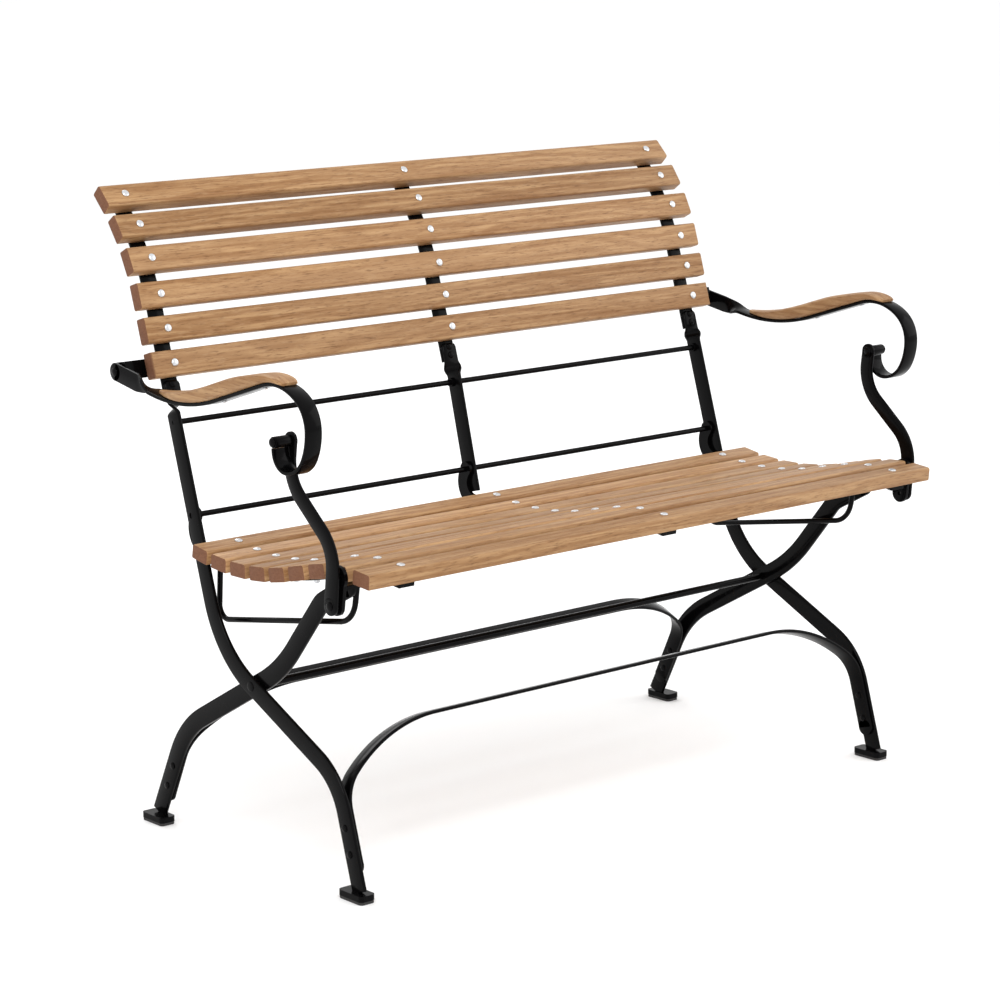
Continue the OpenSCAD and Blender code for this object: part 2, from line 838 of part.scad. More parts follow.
// The scroll pin, with heads inside the post and outside the eye, and the lower rivet
module post_pins(s) {
    inner = post_x - post_t / 2;
    outer = ribbon_x + ribbon_w / 2 + 0.5;
    color(STEEL) {
        cross_pin(s * (inner + outer) / 2, scroll_pin, pin_r, outer - inner + 1);
        translate([s * outer, scroll_pin[0], scroll_pin[1]])
            rotate([0, s * 90, 0])
                pan_head(12, 3);
        translate([s * inner, scroll_pin[0], scroll_pin[1]])
            rotate([0, -s * 90, 0])
                pan_head(12, 2.5);
        rivet(s * post_x, link_pin, post_t, 12, 2 * pin_r);
    }
}

module left_post_pins() { post_pins(-1); }
module right_post_pins() { post_pins(1); }

left_side_bar();
right_side_bar();
centre_stile();
left_back_bar();
centre_back_bar();
right_back_bar();
upper_crossbar_rod();
lower_crossbar_rod();
crossing_rod();
collars();
front_stretcher();
frame_rivets();
front_feet();
front_foot_pads();
back_slat(0);  // back_slat_1
back_slat(1);  // back_slat_2
back_slat(2);  // back_slat_3
back_slat(3);  // back_slat_4
back_slat(4);  // back_slat_5
back_slat(5);  // back_slat_6
back_screws();
back_nuts();
left_arm_bracket();
right_arm_bracket();
arm_pivot_rivets();
left_rear_leg();
right_rear_leg();
rear_stretcher();
rear_leg_rivets();
rear_feet();
rear_foot_pads();
slide_pins();
seat_slat(0);  // seat_slat_1
seat_slat(1);  // seat_slat_2
seat_slat(2);  // seat_slat_3
seat_slat(3);  // seat_slat_4
seat_slat(4);  // seat_slat_5
seat_slat(5);  // seat_slat_6
seat_slat(6);  // seat_slat_7
seat_slat(7);  // seat_slat_8
seat_slat(8);  // seat_slat_9
left_seat_bar();
centre_seat_bar();
right_seat_bar();
seat_screws();
seat_nuts();
guide_wires();
left_arm_link();
right_arm_link();
left_arm_ribbon();
left_armrest();
left_armrest_screws();
left_post();
left_post_pins();
right_arm_ribbon();
right_armrest();
right_armrest_screws();
right_post();
right_post_pins();
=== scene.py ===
"""A folding garden bench: black gloss steel, oak slats and armrests, zinc screws."""
import json
import math

import bpy
from mathutils import Matrix, Vector


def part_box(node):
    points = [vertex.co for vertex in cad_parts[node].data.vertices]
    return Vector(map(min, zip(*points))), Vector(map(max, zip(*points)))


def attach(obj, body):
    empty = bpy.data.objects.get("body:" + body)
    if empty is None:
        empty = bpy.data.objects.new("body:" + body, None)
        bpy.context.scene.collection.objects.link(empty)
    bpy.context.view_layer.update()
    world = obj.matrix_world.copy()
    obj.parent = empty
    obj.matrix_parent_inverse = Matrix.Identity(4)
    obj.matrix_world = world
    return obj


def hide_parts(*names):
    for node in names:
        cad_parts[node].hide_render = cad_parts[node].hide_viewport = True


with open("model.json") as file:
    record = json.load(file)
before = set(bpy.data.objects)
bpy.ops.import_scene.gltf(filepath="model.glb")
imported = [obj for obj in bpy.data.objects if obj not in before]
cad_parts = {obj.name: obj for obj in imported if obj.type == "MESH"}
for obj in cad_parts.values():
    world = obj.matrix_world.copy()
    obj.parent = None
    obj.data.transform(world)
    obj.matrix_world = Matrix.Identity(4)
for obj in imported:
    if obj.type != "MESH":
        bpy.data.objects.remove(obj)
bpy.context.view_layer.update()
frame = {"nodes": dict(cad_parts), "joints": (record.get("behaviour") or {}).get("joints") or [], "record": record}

MM = 0.001
joints = {j["name"]: j for j in frame["joints"]}


def pivot(name):
    """A joint's place in the side view, as (y, z) in millimetres."""
    at = joints[name]["pos_m"]
    return at[1] / MM, at[2] / MM


SEAT_HINGE = pivot("seat_fold")
ARM_PIVOT = pivot("left_arm_swing")
SCROLL_PIN = pivot("left_post_swing")
LINK_PIN = (-238, 404)

LEG_W, LEG_T = 27, 6
RAIL_W, RAIL_T = 25, 5
BAR_EDGE = 1.3
SIDE_LEG_X, SIDE_RAIL_X = 493, 490
POST_X, POST_W = 539, 22
BACK_START, BACK_HEADING = (172.5, 612), 73
BACK_MOVES = [(140, 0), (168, -32)]
SIDE_CORNERS = [(166, 593, 0), (70, 277, 165), (-185, 155, 100), (-231, 0, 0)]
REAR_CORNERS = [(-205, 415, 0), (-147, 384, 40), (-56, 275, 240), (172, 149, 160), (246, 0, 0)]
POST_CORNERS = [SCROLL_PIN + (0,), (-154, 556, 60), (-246, 478, 60), LINK_PIN + (0,)]
RIBBON_START, RIBBON_HEADING = (118, 637.5), 190.5
RIBBON_MOVES = [(5, 0), (150, -28), (108, 0), (25, 17), (49, 35), (46, 55), (39, 30), (42, 60),
                (41, 90), (3, 0)]
STRETCHER_MOVES = [(72, 0), (52, 50), (160, 40)]
STRETCHER_LOW = 48
TAB_ENDS = ((27, 12), (26, 17), (24, 22), (21, 25), (10, 25), (0, 25))
FOOT_TOP = 12
STILE_BELOW = 34
ARM_TWIST_START, ARM_TWIST_RUN = 50, 42
ARMREST_RUNS = (16, 307)
ARMREST_W, ARMREST_T = 33.6, 19.6
BED_GAP = 0.3


# ---- Small tools ----

def centre_of(node):
    low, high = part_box(node)
    return (low + high) / 2


def deselect():
    if bpy.context.object and bpy.context.object.mode != "OBJECT":
        bpy.ops.object.mode_set(mode="OBJECT")
    bpy.ops.object.select_all(action="DESELECT")


def turn(rotation, centre):
    """Turns the selection by a rotation matrix about centre."""
    for axis, angle in zip("XYZ", rotation.to_euler("XYZ")):
        if abs(angle) > 1e-7:
            bpy.ops.transform.rotate(value=-angle, orient_axis=axis, center_override=tuple(centre))


def finish_piece(obj, name, body, mat, replaced, angle=38):
    """Names a finished piece, gives it its material and ties it to its body."""
    bpy.ops.object.mode_set(mode="EDIT")
    bpy.ops.mesh.select_all(action="SELECT")
    bpy.ops.mesh.normals_make_consistent(inside=False)
    bpy.ops.object.mode_set(mode="OBJECT")
    bpy.ops.object.shade_smooth_by_angle(angle=math.radians(angle))
    obj.name = name
    obj.data.name = name
    obj.data.materials.clear()
    obj.data.materials.append(mat)
    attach(obj, body)
    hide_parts(*replaced)
    deselect()
    return obj


# ---- Paths in the side view ----

def walk(start, heading, moves, step=6.0):
    """Stations (y, z, angle) along moves (length, turn in degrees)."""
    y, z = start
    a = math.radians(heading)
    out = [(y, z, a)]
    for length, bend in moves:
        n = max(1, math.ceil(length / (step if bend else 40)))
        d = math.radians(bend) / n
        chord = length / n * (math.sin(d / 2) / (d / 2) if d else 1)
        for _ in range(n):
            y += chord * math.cos(a + d / 2)
            z += chord * math.sin(a + d / 2)
            a += d
            out.append((y, z, a))
    return out


def bent(corners, step=6.0):
    """Stations along a bar bent at its corners (y, z, bend radius)."""
    points = [Vector(c[:2]) for c in corners]
    runs = [points[i + 1] - points[i] for i in range(len(points) - 1)]
    heading = math.atan2(runs[0].y, runs[0].x)
    moves, trim = [], 0.0
    for i, run in enumerate(runs[:-1]):
        new = runs[i + 1]
        bend = math.atan2(run.x * new.y - run.y * new.x, run.dot(new))
        radius = corners[i + 1][2]
        cut = radius * math.tan(abs(bend) / 2)
        moves += [(run.length - trim - cut, 0), (radius * abs(bend), math.degrees(bend))]
        trim = cut
    moves.append((runs[-1].length - trim, 0))
    return walk(corners[0][:2], math.degrees(heading), [m for m in moves if m[0] > 0.01], step)


def ease(t):
    return t * t * (3 - 2 * t)


# ---- Sweeping a bar ----

def section_frame(angle, roll):
    """Side, normal and run direction of a bar in the side view, rolled about its run."""
    run = Vector((0, math.cos(angle), math.sin(angle)))
    side = Vector((1, 0, 0))
    normal = run.cross(side)
    c, s = math.cos(roll), math.sin(roll)
    return side * c + normal * s, normal * c - side * s, run


def turn_between(old, new, centre):
    """Turns the selection so that section axes old become new."""
    turn(Matrix(new).transposed() @ Matrix(old), centre)


def sweep(stations, corner, segments=2):
    """Sweeps a rounded rectangle along stations, in millimetres.

    A station is (point, (side, normal, run), width, thickness).
    """
    deselect()
    first = stations[0]
    bpy.ops.mesh.primitive_plane_add(size=1)
    obj = bpy.context.object
    bpy.ops.object.mode_set(mode="EDIT")
    bpy.ops.transform.resize(value=(first[2] * MM, first[3] * MM, 1))
    bpy.ops.mesh.bevel(offset=corner * MM, segments=segments, affect="VERTICES")
    bpy.ops.mesh.select_all(action="SELECT")
    square = (Vector((1, 0, 0)), Vector((0, 1, 0)), Vector((0, 0, 1)))
    turn_between(square, first[1], (0, 0, 0))
    bpy.ops.transform.translate(value=first[0] * MM)
    for old, new in zip(stations, stations[1:]):
        centre = new[0] * MM
        bpy.ops.mesh.extrude_region_move(
            TRANSFORM_OT_translate={"value": tuple(centre - old[0] * MM)}
        )
        turn_between(old[1], new[1], centre)
        grow = (new[2] / old[2], new[3] / old[3], 1)
        if abs(grow[0] - 1) > 1e-5 or abs(grow[1] - 1) > 1e-5:
            bpy.ops.transform.resize(
                value=grow, orient_type="GLOBAL", orient_matrix=tuple(tuple(v) for v in new[1]),
                orient_matrix_type="GLOBAL", center_override=tuple(centre),
            )
    return obj


def disc(x, at, radius, depth, edge=0.8):
    """Adds a round end to the piece in edit mode, its axis across the bench."""
    bpy.ops.mesh.select_all(action="DESELECT")
    bpy.ops.mesh.primitive_cylinder_add(
        vertices=40, radius=radius * MM, depth=depth * MM,
        location=(x * MM, at[0] * MM, at[1] * MM), rotation=(0, math.pi / 2, 0),
    )
    bpy.ops.mesh.bevel(offset=edge * MM, segments=2, affect="EDGES")


def flat(x, path, width, thick, roll=0.0):
    """Stations of a bar whose width lies across the bench, or along it when rolled."""
    return [(Vector((x, y, z)), section_frame(a, roll), width, thick) for y, z, a in path]


# ---- Materials ----

def new_node(tree, kind, values=(), **settings):
    made = tree.nodes.new(kind)
    for key, value in settings.items():
        setattr(made, key, value)
    for key, value in values:
        made.inputs[key].default_value = value
    return made


def maths(tree, operation, a, b=None, clamp=False):
    made = new_node(tree, "ShaderNodeMath", operation=operation, use_clamp=clamp)
    for i, v in enumerate((a, b)):
        if v is None:
            continue
        if isinstance(v, (int, float)):
            made.inputs[i].default_value = v
        else:
            tree.links.new(v, made.inputs[i])
    return made.outputs[0]


def mix(tree, factor, a, b, blend="MIX"):
    made = new_node(tree, "ShaderNodeMix", data_type="RGBA", blend_type=blend)
    for key, v in (("Factor", factor), ("A", a), ("B", b)):
        sockets = [s for s in made.inputs if s.name == key]
        want = "VALUE" if key == "Factor" else "RGBA"
        target = [s for s in sockets if s.type == want][0]
        if isinstance(v, (int, float)):
            target.default_value = v
        elif isinstance(v, tuple):
            target.default_value = v + (1,) if len(v) == 3 else v
        else:
            tree.links.new(v, target)
    return [s for s in made.outputs if s.type == "RGBA"][0]


def noise(tree, vector, scale, detail=3.0, rough=0.55, distortion=0.0):
    made = new_node(tree, "ShaderNodeTexNoise", (
        ("Scale", scale), ("Detail", detail), ("Roughness", rough), ("Distortion", distortion)))
    tree.links.new(vector, made.inputs["Vector"])
    return made.outputs[0]


def stretched(tree, vector, scale):
    made = new_node(tree, "ShaderNodeMapping", (("Scale", scale),))
    tree.links.new(vector, made.inputs["Vector"])
    return made.outputs[0]


def level(tree, value, low, high, out_low=0.0, out_high=1.0):
    made = new_node(tree, "ShaderNodeMapRange", (
        ("From Min", low), ("From Max", high), ("To Min", out_low), ("To Max", out_high)))
    made.clamp = True
    tree.links.new(value, made.inputs["Value"])
    return made.outputs[0]


def oak_group():
    """Oak figure along the vector's X: colour, roughness and height."""
    tree = bpy.data.node_groups.new("oak_figure", "ShaderNodeTree")
    tree.interface.new_socket("Vector", in_out="INPUT", socket_type="NodeSocketVector")
    tree.interface.new_socket("Tone", in_out="INPUT", socket_type="NodeSocketFloat")
    tree.interface.new_socket("End", in_out="INPUT", socket_type="NodeSocketFloat")
    tree.interface.new_socket("Color", in_out="OUTPUT", socket_type="NodeSocketColor")
    tree.interface.new_socket("Roughness", in_out="OUTPUT", socket_type="NodeSocketFloat")
    tree.interface.new_socket("Height", in_out="OUTPUT", socket_type="NodeSocketFloat")
    into = tree.nodes.new("NodeGroupInput")
    out = tree.nodes.new("NodeGroupOutput")
    vector, tone, end = into.outputs["Vector"], into.outputs["Tone"], into.outputs["End"]

    # growth rings, slowly wandering so that they open into long arches
    wander = noise(tree, stretched(tree, vector, (1.6, 9, 9)), 1.0, 2.0)
    rings = new_node(tree, "ShaderNodeTexWave", (
        ("Scale", 26.0), ("Distortion", 5.0), ("Detail", 3.0), ("Detail Scale", 1.3),
        ("Detail Roughness", 0.6)), wave_type="RINGS", rings_direction="X")
    shift = new_node(tree, "ShaderNodeVectorMath", operation="ADD")
    push = new_node(tree, "ShaderNodeCombineXYZ")
    tree.links.new(maths(tree, "MULTIPLY", wander, 0.10), push.inputs["Y"])
    tree.links.new(maths(tree, "MULTIPLY", wander, 0.07), push.inputs["Z"])
    tree.links.new(stretched(tree, vector, (0.22, 1, 1)), shift.inputs[0])
    tree.links.new(push.outputs[0], shift.inputs[1])
    tree.links.new(shift.outputs[0], rings.inputs["Vector"])
    ring = level(tree, rings.outputs["Fac"], 0.25, 1.0)

    streak = noise(tree, stretched(tree, vector, (5, 170, 170)), 1.0, 6.0, 0.68, 0.25)
    broad = noise(tree, stretched(tree, vector, (1.3, 22, 22)), 1.0, 3.0, 0.5)
    pores = noise(tree, stretched(tree, vector, (55, 620, 620)), 1.0, 3.0, 0.65)
    pore = level(tree, pores, 0.54, 0.68)
    fleck = level(tree, noise(tree, stretched(tree, vector, (45, 300, 300)), 1.0, 2.0), 0.56, 0.70)

    pale = (0.550, 0.322, 0.150)
    warm = (0.315, 0.148, 0.054)
    deep = (0.150, 0.060, 0.022)
    colour = mix(tree, maths(tree, "MULTIPLY", ring, 0.62), pale, warm)
    colour = mix(tree, level(tree, streak, 0.40, 0.62, 0.0, 0.95), colour, warm)
    colour = mix(tree, level(tree, broad, 0.42, 0.70, 0.0, 0.35), colour, (0.590, 0.370, 0.200))
    colour = mix(tree, maths(tree, "MULTIPLY", pore, 0.62), colour, deep)
    colour = mix(tree, maths(tree, "MULTIPLY", fleck, 0.25), colour, (0.600, 0.390, 0.215))
    bright = new_node(tree, "ShaderNodeHueSaturation")
    tree.links.new(colour, bright.inputs["Color"])
    tree.links.new(level(tree, tone, 0.0, 1.0, 0.68, 0.90), bright.inputs["Value"])
    colour = bright.outputs[0]

    # end grain: darker, with fine pores across
    cut = noise(tree, stretched(tree, vector, (1, 260, 420)), 1.0, 4.0, 0.7)
    end_colour = mix(tree, cut, (0.090, 0.034, 0.016), (0.240, 0.108, 0.058))
    tree.links.new(mix(tree, end, colour, end_colour), out.inputs["Color"])

    rough = level(tree, streak, 0.3, 0.8, 0.46, 0.60)
    rougher = maths(tree, "MULTIPLY", end, 0.2)
    tree.links.new(maths(tree, "ADD", rough, rougher), out.inputs["Roughness"])
    ridges = maths(tree, "MULTIPLY", streak, 0.5)
    pits = maths(tree, "MULTIPLY", pore, 0.6)
    height = maths(tree, "SUBTRACT", ridges, pits)
    tree.links.new(height, out.inputs["Height"])
    return tree


def grime_group():
    """Dust and rubbing marks for painted steel and plating: a mask and fine waviness."""
    tree = bpy.data.node_groups.new("surface_wear", "ShaderNodeTree")
    tree.interface.new_socket("Vector", in_out="INPUT", socket_type="NodeSocketVector")
    tree.interface.new_socket("Mask", in_out="OUTPUT", socket_type="NodeSocketFloat")
    tree.interface.new_socket("Waviness", in_out="OUTPUT", socket_type="NodeSocketFloat")
    into = tree.nodes.new("NodeGroupInput")
    out = tree.nodes.new("NodeGroupOutput")
    patches = noise(tree, into.outputs[0], 38.0, 6.0, 0.68)
    fine = noise(tree, into.outputs[0], 420.0, 3.0, 0.6)
    both = maths(tree, "MULTIPLY", level(tree, patches, 0.46, 0.72), level(tree, fine, 0.35, 0.7))
    tree.links.new(both, out.inputs["Mask"])
    tree.links.new(noise(tree, into.outputs[0], 150.0, 2.0, 0.5), out.inputs["Waviness"])
    return tree


def bare_material(name):
    mat = bpy.data.materials.new(name)
    mat.use_nodes = True
    tree = mat.node_tree
    tree.nodes.clear()
    shader = tree.nodes.new("ShaderNodeBsdfPrincipled")
    out = tree.nodes.new("ShaderNodeOutputMaterial")
    tree.links.new(shader.outputs[0], out.inputs["Surface"])
    coords = tree.nodes.new("ShaderNodeTexCoord")
    return mat, tree, shader, coords


def oak_material(name, group, along_y, darker):
    mat, tree, shader, coords = bare_material(name)
    info = tree.nodes.new("ShaderNodeObjectInfo")
    split = tree.nodes.new("ShaderNodeSeparateXYZ")
    tree.links.new(coords.outputs["Object"], split.inputs[0])
    join = tree.nodes.new("ShaderNodeCombineXYZ")
    shuffle = maths(tree, "MULTIPLY", info.outputs["Random"], 5.0)
    first, second = ("Y", "X") if along_y else ("X", "Y")
    tree.links.new(maths(tree, "ADD", split.outputs[first], shuffle), join.inputs["X"])
    tree.links.new(maths(tree, "ADD", split.outputs[second], shuffle), join.inputs["Y"])
    tree.links.new(split.outputs["Z"], join.inputs["Z"])
    oak = tree.nodes.new("ShaderNodeGroup")
    oak.node_tree = group
    tree.links.new(join.outputs[0], oak.inputs["Vector"])
    tone = maths(tree, "MULTIPLY", info.outputs["Random"], 1.0 - darker)
    tree.links.new(tone, oak.inputs["Tone"])
    facing = tree.nodes.new("ShaderNodeSeparateXYZ")
    tree.links.new(coords.outputs["Normal"], facing.inputs[0])
    if not along_y:
        across = maths(tree, "ABSOLUTE", facing.outputs["X"])
        tree.links.new(level(tree, across, 0.6, 0.9), oak.inputs["End"])
    tree.links.new(oak.outputs["Color"], shader.inputs["Base Color"])
    tree.links.new(oak.outputs["Roughness"], shader.inputs["Roughness"])
    shader.inputs["Specular IOR Level"].default_value = 0.22
    bump = new_node(tree, "ShaderNodeBump", (("Strength", 0.22), ("Distance", 0.0006)))
    tree.links.new(oak.outputs["Height"], bump.inputs["Height"])
    tree.links.new(bump.outputs[0], shader.inputs["Normal"])
    return mat


def coated_material(name, group, colour, dusty, rough, metallic=0.0, coat=0.0, edge=0.0,
                    bump_by=0.06, wear=0.4, shine=0.5):
    """Painted, plated or rubber surface with slight wear. edge rounds sharp corners, in metres."""
    mat, tree, shader, coords = bare_material(name)
    worn = tree.nodes.new("ShaderNodeGroup")
    worn.node_tree = group
    tree.links.new(coords.outputs["Object"], worn.inputs[0])
    mask = maths(tree, "MULTIPLY", worn.outputs["Mask"], wear)
    tree.links.new(mix(tree, mask, colour, dusty), shader.inputs["Base Color"])
    tree.links.new(level(tree, worn.outputs["Mask"], 0.0, 1.0, rough, min(1.0, rough + 0.25)),
                   shader.inputs["Roughness"])
    shader.inputs["Metallic"].default_value = metallic
    shader.inputs["Specular IOR Level"].default_value = shine
    shader.inputs["Coat Weight"].default_value = coat
    shader.inputs["Coat Roughness"].default_value = 0.05
    bump = new_node(tree, "ShaderNodeBump", (("Strength", bump_by), ("Distance", 0.0008)))
    tree.links.new(worn.outputs["Waviness"], bump.inputs["Height"])
    if edge:
        rounded = new_node(tree, "ShaderNodeBevel", (("Radius", edge),), samples=6)
        tree.links.new(rounded.outputs[0], bump.inputs["Normal"])
    tree.links.new(bump.outputs[0], shader.inputs["Normal"])
    return mat


figure = oak_group()
surface = grime_group()
oak = oak_material("oak_slats", figure, along_y=False, darker=0.0)
oak_arm = oak_material("oak_armrests", figure, along_y=True, darker=0.75)
BLACK, DUST = (0.0017, 0.0016, 0.0018), (0.008, 0.0075, 0.0075)
paint = coated_material("black_gloss_paint", surface, BLACK, DUST, 0.16, coat=0.03, bump_by=0.03,
                        wear=0.25, shine=0.05)
paint_cad = coated_material("black_gloss_paint_fittings", surface, BLACK, DUST, 0.16, coat=0.03,
                            edge=0.0008, bump_by=0.03, wear=0.25, shine=0.05)
zinc = coated_material("zinc_plate", surface, (0.66, 0.67, 0.69), (0.40, 0.40, 0.40), 0.28,
                       metallic=1.0, edge=0.0004)
rubber = coated_material("foot_rubber", surface, (0.014, 0.013, 0.013), (0.09, 0.085, 0.08), 0.62,
                         edge=0.0008, bump_by=0.15)

# every CAD node takes the look of its slot
LOOKS = {"black_steel": paint_cad, "oak_slats": oak, "zinc_screws": zinc, "foot_pads": rubber}
for part in frame["record"]["subparts"]:
    shown = frame["nodes"][part["node"]]
    shown.data.materials.clear()
    shown.data.materials.append(LOOKS[part["material_slot"]])


# ---- Slats ----

def slat_axes(node):
    """Centre, angle about X and size of a slat, read from its flat underside."""
    mesh = frame["nodes"][node].data
    areas = {}
    for face in mesh.polygons:
        n = face.normal
        if abs(n.x) < 0.01:
            key = round(math.degrees(math.atan2(n.z, n.y)), 1)
            areas[key] = areas.get(key, 0) + face.area
    down = math.radians(max(areas, key=areas.get))
    up = Vector((0, -math.cos(down), -math.sin(down)))
    across = Vector((0, up.z, -up.y))
    ups = [v.co.dot(up) for v in mesh.vertices]
    acrosses = [v.co.dot(across) for v in mesh.vertices]
    middle = up * (min(ups) + max(ups)) / 2 + across * (min(acrosses) + max(acrosses)) / 2
    middle.x = centre_of(node).x
    low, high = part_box(node)
    size = Vector((high.x - low.x, max(acrosses) - min(acrosses), max(ups) - min(ups)))
    return middle, math.atan2(up.z, up.y) - math.pi / 2, size


def make_slat(node, body):
    middle, angle, size = slat_axes(node)
    deselect()
    bpy.ops.mesh.primitive_cube_add(size=1)
    obj = bpy.context.object
    bpy.ops.object.mode_set(mode="EDIT")
    bpy.ops.transform.resize(value=size)
    for edges, offset, segments in (("top", 3.8, 4), ("low", 2.2, 2), ("ends", 1.4, 2)):
        bpy.ops.mesh.select_all(action="DESELECT")
        bpy.ops.object.mode_set(mode="OBJECT")
        for edge in obj.data.edges:
            a, b = (obj.data.vertices[i].co for i in edge.vertices)
            along = abs(a.x - b.x) > size.x / 2
            if edges == "ends":
                at_end = min(abs(a.x), abs(b.x)) > size.x / 2 - 1e-5
                edge.select = at_end and not along
            else:
                high = min(a.z, b.z) > 0 if edges == "top" else max(a.z, b.z) < 0
                edge.select = along and high and max(abs(a.y), abs(b.y)) > size.y / 2 - 1e-5
        bpy.ops.object.mode_set(mode="EDIT")
        bpy.ops.mesh.select_mode(type="EDGE")
        bpy.ops.mesh.bevel(offset=offset * MM, segments=segments, affect="EDGES")
    bpy.ops.mesh.select_all(action="SELECT")
    turn(Matrix.Rotation(angle, 3, "X"), (0, 0, 0))
    bpy.ops.transform.translate(value=middle)
    finish_piece(obj, node + "_wood", body, oak, [node])


for i in range(1, 7):
    make_slat(f"back_slat_{i}", "frame")
for i in range(1, 10):
    make_slat(f"seat_slat_{i}", "seat")


# ---- Steel bars ----

back_path = walk(BACK_START, BACK_HEADING, BACK_MOVES)


def back_at(run):
    return walk(BACK_START, BACK_HEADING, [(run, 0)])[-1]


def twisted(x0, x1, top, low, roll, wide, steps=12):
    """Stations that turn a bar edge-on between two stations of its path."""
    out = []
    for k in range(1, steps):
        t = k / steps
        e = ease(t)
        y, z = top[0] + (low[0] - top[0]) * t, top[1] + (low[1] - top[1]) * t
        a = top[2] + (low[2] - top[2]) * t
        point = Vector((x0 + (x1 - x0) * e, y, z))
        out.append((point, section_frame(a, roll * e), wide[0] + (wide[1] - wide[0]) * e,
                    RAIL_T + (LEG_T - RAIL_T) * e))
    return out


def tab_at(run):
    """Station of a stile's tab, in front of the back bar, headed down."""
    y, z, a = back_at(run)
    lean = math.radians(90 - BACK_HEADING)
    return y - RAIL_T * math.cos(lean), z + RAIL_T * math.sin(lean), a + math.pi


def tab_stations(x):
    """The tab, from its rounded top down to the twist."""
    out = []
    for run, width in TAB_ENDS:
        out += flat(x, [tab_at(run)], width, RAIL_T)
    return out


def back_bar(node):
    x = centre_of(node).x / MM
    obj = sweep(flat(x, back_path, RAIL_W, RAIL_T), BAR_EDGE)
    finish_piece(obj, node + "_bar", "frame", paint, [node])


def side_bar(node, sign):
    """Tab and twist below the back slats, then stile and leg in one bent bar."""
    leg_x = sign * SIDE_LEG_X
    rail_x = sign * SIDE_RAIL_X
    roll = sign * math.pi / 2
    leg = [p for p in bent(SIDE_CORNERS) if p[1] > FOOT_TOP]
    end = leg[-1]
    drop = (end[1] - FOOT_TOP) / math.sin(-end[2])
    leg.append((end[0] + drop * math.cos(end[2]), FOOT_TOP, end[2]))
    leg = [(y, z, a % (2 * math.pi)) for y, z, a in leg]
    stations = tab_stations(rail_x)
    stations += twisted(rail_x, leg_x, tab_at(0), leg[0], roll, (RAIL_W, LEG_W))
    stations += flat(leg_x, leg, LEG_W, LEG_T, roll)
    obj = sweep(stations, BAR_EDGE)
    finish_piece(obj, node + "_bar", "frame", paint, [node])


def centre_stile():
    top, low = tab_at(0), tab_at(-22)
    down = math.atan2(SEAT_HINGE[1] - low[1], SEAT_HINGE[0] - low[0]) % (2 * math.pi)
    stations = tab_stations(0)
    stations += twisted(0, 0, top, low, math.pi / 2, (RAIL_W, LEG_W))
    reach = math.dist(low[:2], SEAT_HINGE) + STILE_BELOW
    foot = (low[0] + reach * math.cos(down), low[1] + reach * math.sin(down), down)
    stations += flat(0, [(low[0], low[1], down), foot], LEG_W, LEG_T, math.pi / 2)
    obj = sweep(stations, 1.2)
    finish_piece(obj, "centre_stile_bar", "frame", paint, ["centre_stile"])


for bar in ("left_back_bar", "centre_back_bar", "right_back_bar"):
    back_bar(bar)
side_bar("left_side_bar", -1)
side_bar("right_side_bar", 1)
centre_stile()


def rear_leg(node):
    x = centre_of(node).x / MM
    path = [p for p in bent(REAR_CORNERS) if p[1] > FOOT_TOP]
    end = path[-1]
    drop = (end[1] - FOOT_TOP) / math.sin(-end[2])
    path.append((end[0] + drop * math.cos(end[2]), FOOT_TOP, end[2]))
    obj = sweep(flat(x, path, LEG_W, LEG_T, math.pi / 2), BAR_EDGE)
    disc(x, REAR_CORNERS[0][:2], LEG_W / 2, LEG_T)
    finish_piece(obj, node + "_bar", "rear_legs", paint, [node])


rear_leg("left_rear_leg")
rear_leg("right_rear_leg")


def stretcher(node, body, base, lean, start_x):
    """An arched flat bar between two legs, in a plane that leans with them."""
    lean = math.radians(lean)
    out_of = Vector((0, math.cos(lean), math.sin(lean)))
    up = Vector((0, -math.sin(lean), math.cos(lean)))
    half = walk((start_x, STRETCHER_LOW), 90, STRETCHER_MOVES)
    line = half + [(-x, z, math.pi * 2 - a) for x, z, a in reversed(half[:-1])]
    origin = Vector((0, base, 0))
    stations = []
    for x, z, a in line:
        run = Vector((1, 0, 0)) * math.cos(a) + up * math.sin(a)
        point = origin + Vector((x, 0, 0)) + up * z
        stations.append((point, (out_of, run.cross(out_of), run), RAIL_W, RAIL_T))
    obj = sweep(stations, BAR_EDGE)
    for s in (-1, 1):
        centre = origin + Vector((s * start_x, 0, 0)) + up * STRETCHER_LOW
        disc(s * start_x, (centre.y, centre.z), RAIL_W / 2, RAIL_T)
    finish_piece(obj, node + "_bar", body, paint, [node])


stretcher("front_stretcher", "frame", -229, -16.4, 487.5)
stretcher("rear_stretcher", "rear_legs", 243, 25.5, 480)


# ---- Arms ----

def ribbon_path(step=4.0):
    return walk(RIBBON_START, RIBBON_HEADING, RIBBON_MOVES, step)


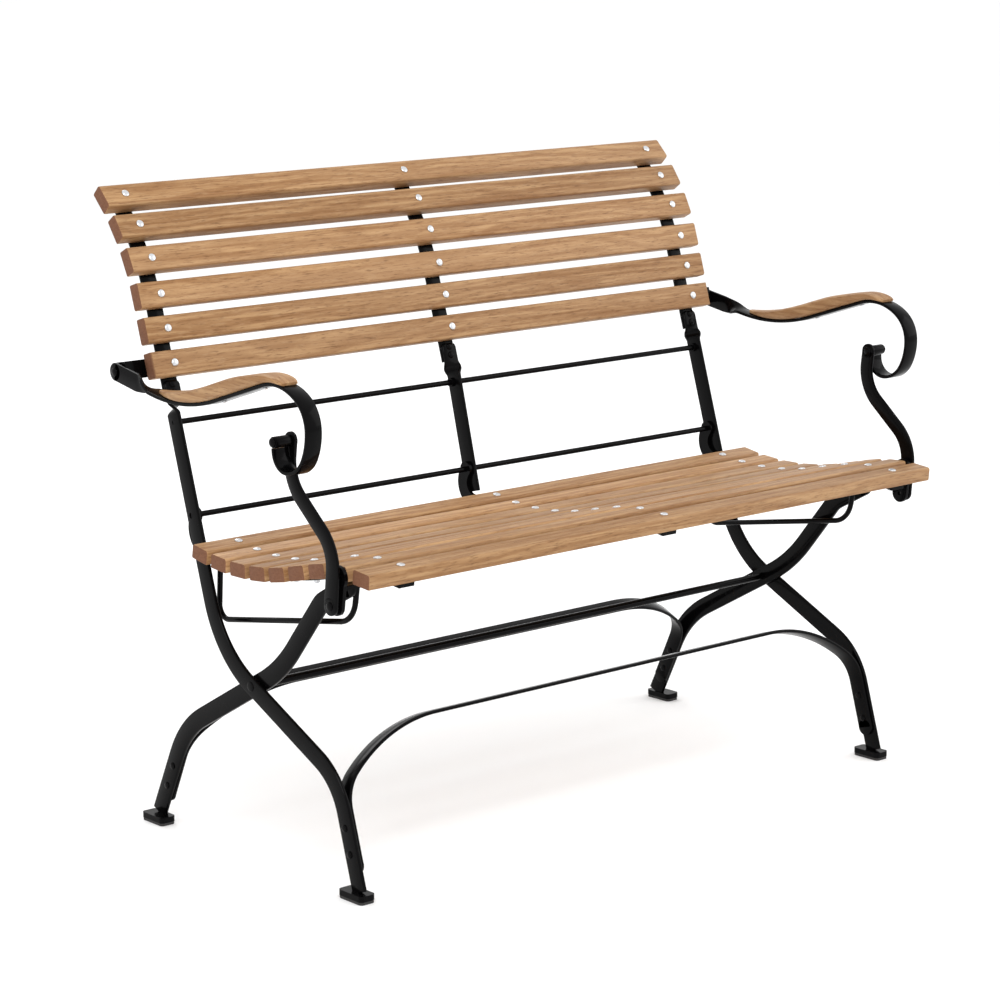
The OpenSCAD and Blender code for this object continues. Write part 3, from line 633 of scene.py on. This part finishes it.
def arm(sign, side):
    x = centre_of(side + "_arm_ribbon").x / MM
    body = side + "_arm"
    reach = (RIBBON_START[0] - ARM_PIVOT[0], RIBBON_START[1] - ARM_PIVOT[1])
    away = math.atan2(reach[1], reach[0]) % (2 * math.pi)
    ray = (math.cos(away), math.sin(away))

    def along(run):
        return (ARM_PIVOT[0] + ray[0] * run, ARM_PIVOT[1] + ray[1] * run, away)

    stations = flat(x, [along(0), along(ARM_TWIST_START)], RAIL_W, RAIL_T, sign * math.pi / 2)
    for k in range(1, 12):
        e = ease(k / 12)
        y, z, a = along(ARM_TWIST_START + ARM_TWIST_RUN * k / 12)
        narrow = 1 - 0.12 * math.sin(math.pi * k / 12)
        stations.append((Vector((x, y, z)), section_frame(a, sign * math.pi / 2 * (1 - e)),
                         RAIL_W * narrow, RAIL_T))
    stations += flat(x, ribbon_path(), RAIL_W, RAIL_T)
    obj = sweep(stations, BAR_EDGE)
    disc(x, ARM_PIVOT, RAIL_W / 2, RAIL_T)
    disc(x, SCROLL_PIN, 7.5, RAIL_W)
    ribbon = side + "_arm_ribbon"
    finish_piece(obj, ribbon + "_bar", body, paint, [ribbon])

    path = walk(RIBBON_START, RIBBON_HEADING, RIBBON_MOVES[:5], 4.0)
    fine = []
    run = 0.0
    for i, (y, z, a) in enumerate(path):
        if i:
            run += math.dist(path[i - 1][:2], (y, z))
        fine.append((run, y, z, a))

    def at(want):
        for (r0, y0, z0, a0), (r1, y1, z1, a1) in zip(fine, fine[1:]):
            if r0 <= want <= r1 + 1e-6:
                t = (want - r0) / (r1 - r0)
                return y0 + (y1 - y0) * t, z0 + (z1 - z0) * t, a0 + (a1 - a0) * t
        return fine[-1][1:]

    stations = []
    steps = 64
    for k in range(steps + 1):
        u = k / steps
        y, z, a = at(ARMREST_RUNS[0] + (ARMREST_RUNS[1] - ARMREST_RUNS[0]) * u)
        swell = 0.25 + 0.75 * math.sin(math.pi * u) if u < 0.5 else 1.0
        nose = 1 - 0.82 * ((u - 0.6) / 0.4) ** 1.6 if u > 0.6 else 1.0
        thick = ARMREST_T * swell * nose
        leaf = math.sin(math.pi / 2 * min(1.0, 0.10 + u / 0.30)) ** 0.75
        side_round = math.sqrt(max(0.05, 1 - max(0.0, (u - 0.95) / 0.075) ** 2))
        width = ARMREST_W * leaf * side_round
        frame_here = section_frame(a, 0.0)
        centre = Vector((x, y, z)) + frame_here[1] * (RAIL_T / 2 + BED_GAP + thick / 2)
        stations.append((centre, frame_here, width, max(1.6, thick)))
    obj = sweep(stations, 1.4, segments=4)
    armrest = side + "_armrest"
    finish_piece(obj, armrest + "_wood", body, oak_arm, [armrest], angle=60)

    x = sign * POST_X
    path = bent(POST_CORNERS, 4.0)
    count = len(path) - 1
    stations = []
    for i, (y, z, a) in enumerate(path):
        low_swell = 1 + 0.12 * max(0.0, i / count - 0.6) / 0.4
        stations.append((Vector((x, y, z)), section_frame(a, math.pi / 2), POST_W * low_swell,
                         RAIL_T))
    obj = sweep(stations, BAR_EDGE)
    disc(x, SCROLL_PIN, POST_W / 2, RAIL_T)
    disc(x, LINK_PIN, 12.2, RAIL_T)
    finish_piece(obj, side + "_post_bar", side + "_post", paint, [side + "_post"])


arm(-1, "left")
arm(1, "right")


# ---- Studio ----

def studio():
    deselect()
    bpy.ops.mesh.primitive_plane_add(size=60)
    floor = bpy.context.object
    floor.name = "floor"
    mat, tree, shader, _ = bare_material("floor_white")
    shader.inputs["Base Color"].default_value = (0.92, 0.92, 0.92, 1)
    shader.inputs["Roughness"].default_value = 0.9
    shader.inputs["Specular IOR Level"].default_value = 0.1
    floor.data.materials.append(mat)
    for name, at, size, power, aim in (
        ("key", (-2.6, -3.4, 4.2), 2.6, 120, (0, 0, 0.4)),
        ("fill", (3.6, -2.4, 2.4), 3.2, 45, (0, 0, 0.4)),
        ("rim", (0.8, 3.8, 3.4), 2.4, 60, (0, 0, 0.5)),
    ):
        bpy.ops.object.light_add(type="AREA", location=at)
        lamp = bpy.context.object
        lamp.name = name
        lamp.data.size = size
        lamp.data.energy = power
        lamp.rotation_euler = (Vector(aim) - Vector(at)).to_track_quat("-Z", "Y").to_euler()
    world = bpy.data.worlds.new("studio")
    bpy.context.scene.world = world
    world.use_nodes = True
    back = world.node_tree.nodes["Background"]
    back.inputs["Color"].default_value = (1, 1, 1, 1)
    back.inputs["Strength"].default_value = 1.10
    bpy.context.scene.view_settings.view_transform = "Standard"


studio()

bpy.ops.object.camera_add(location=(-2.8088, -3.2114, 1.3034))
camera = bpy.context.object
camera.name = "camera"
camera.rotation_euler = (math.radians(78.4467), math.radians(0.4164), math.radians(-40.7301))
camera.data.sensor_width = 36
camera.data.lens = 109.27
bpy.context.scene.camera = camera
deselect()
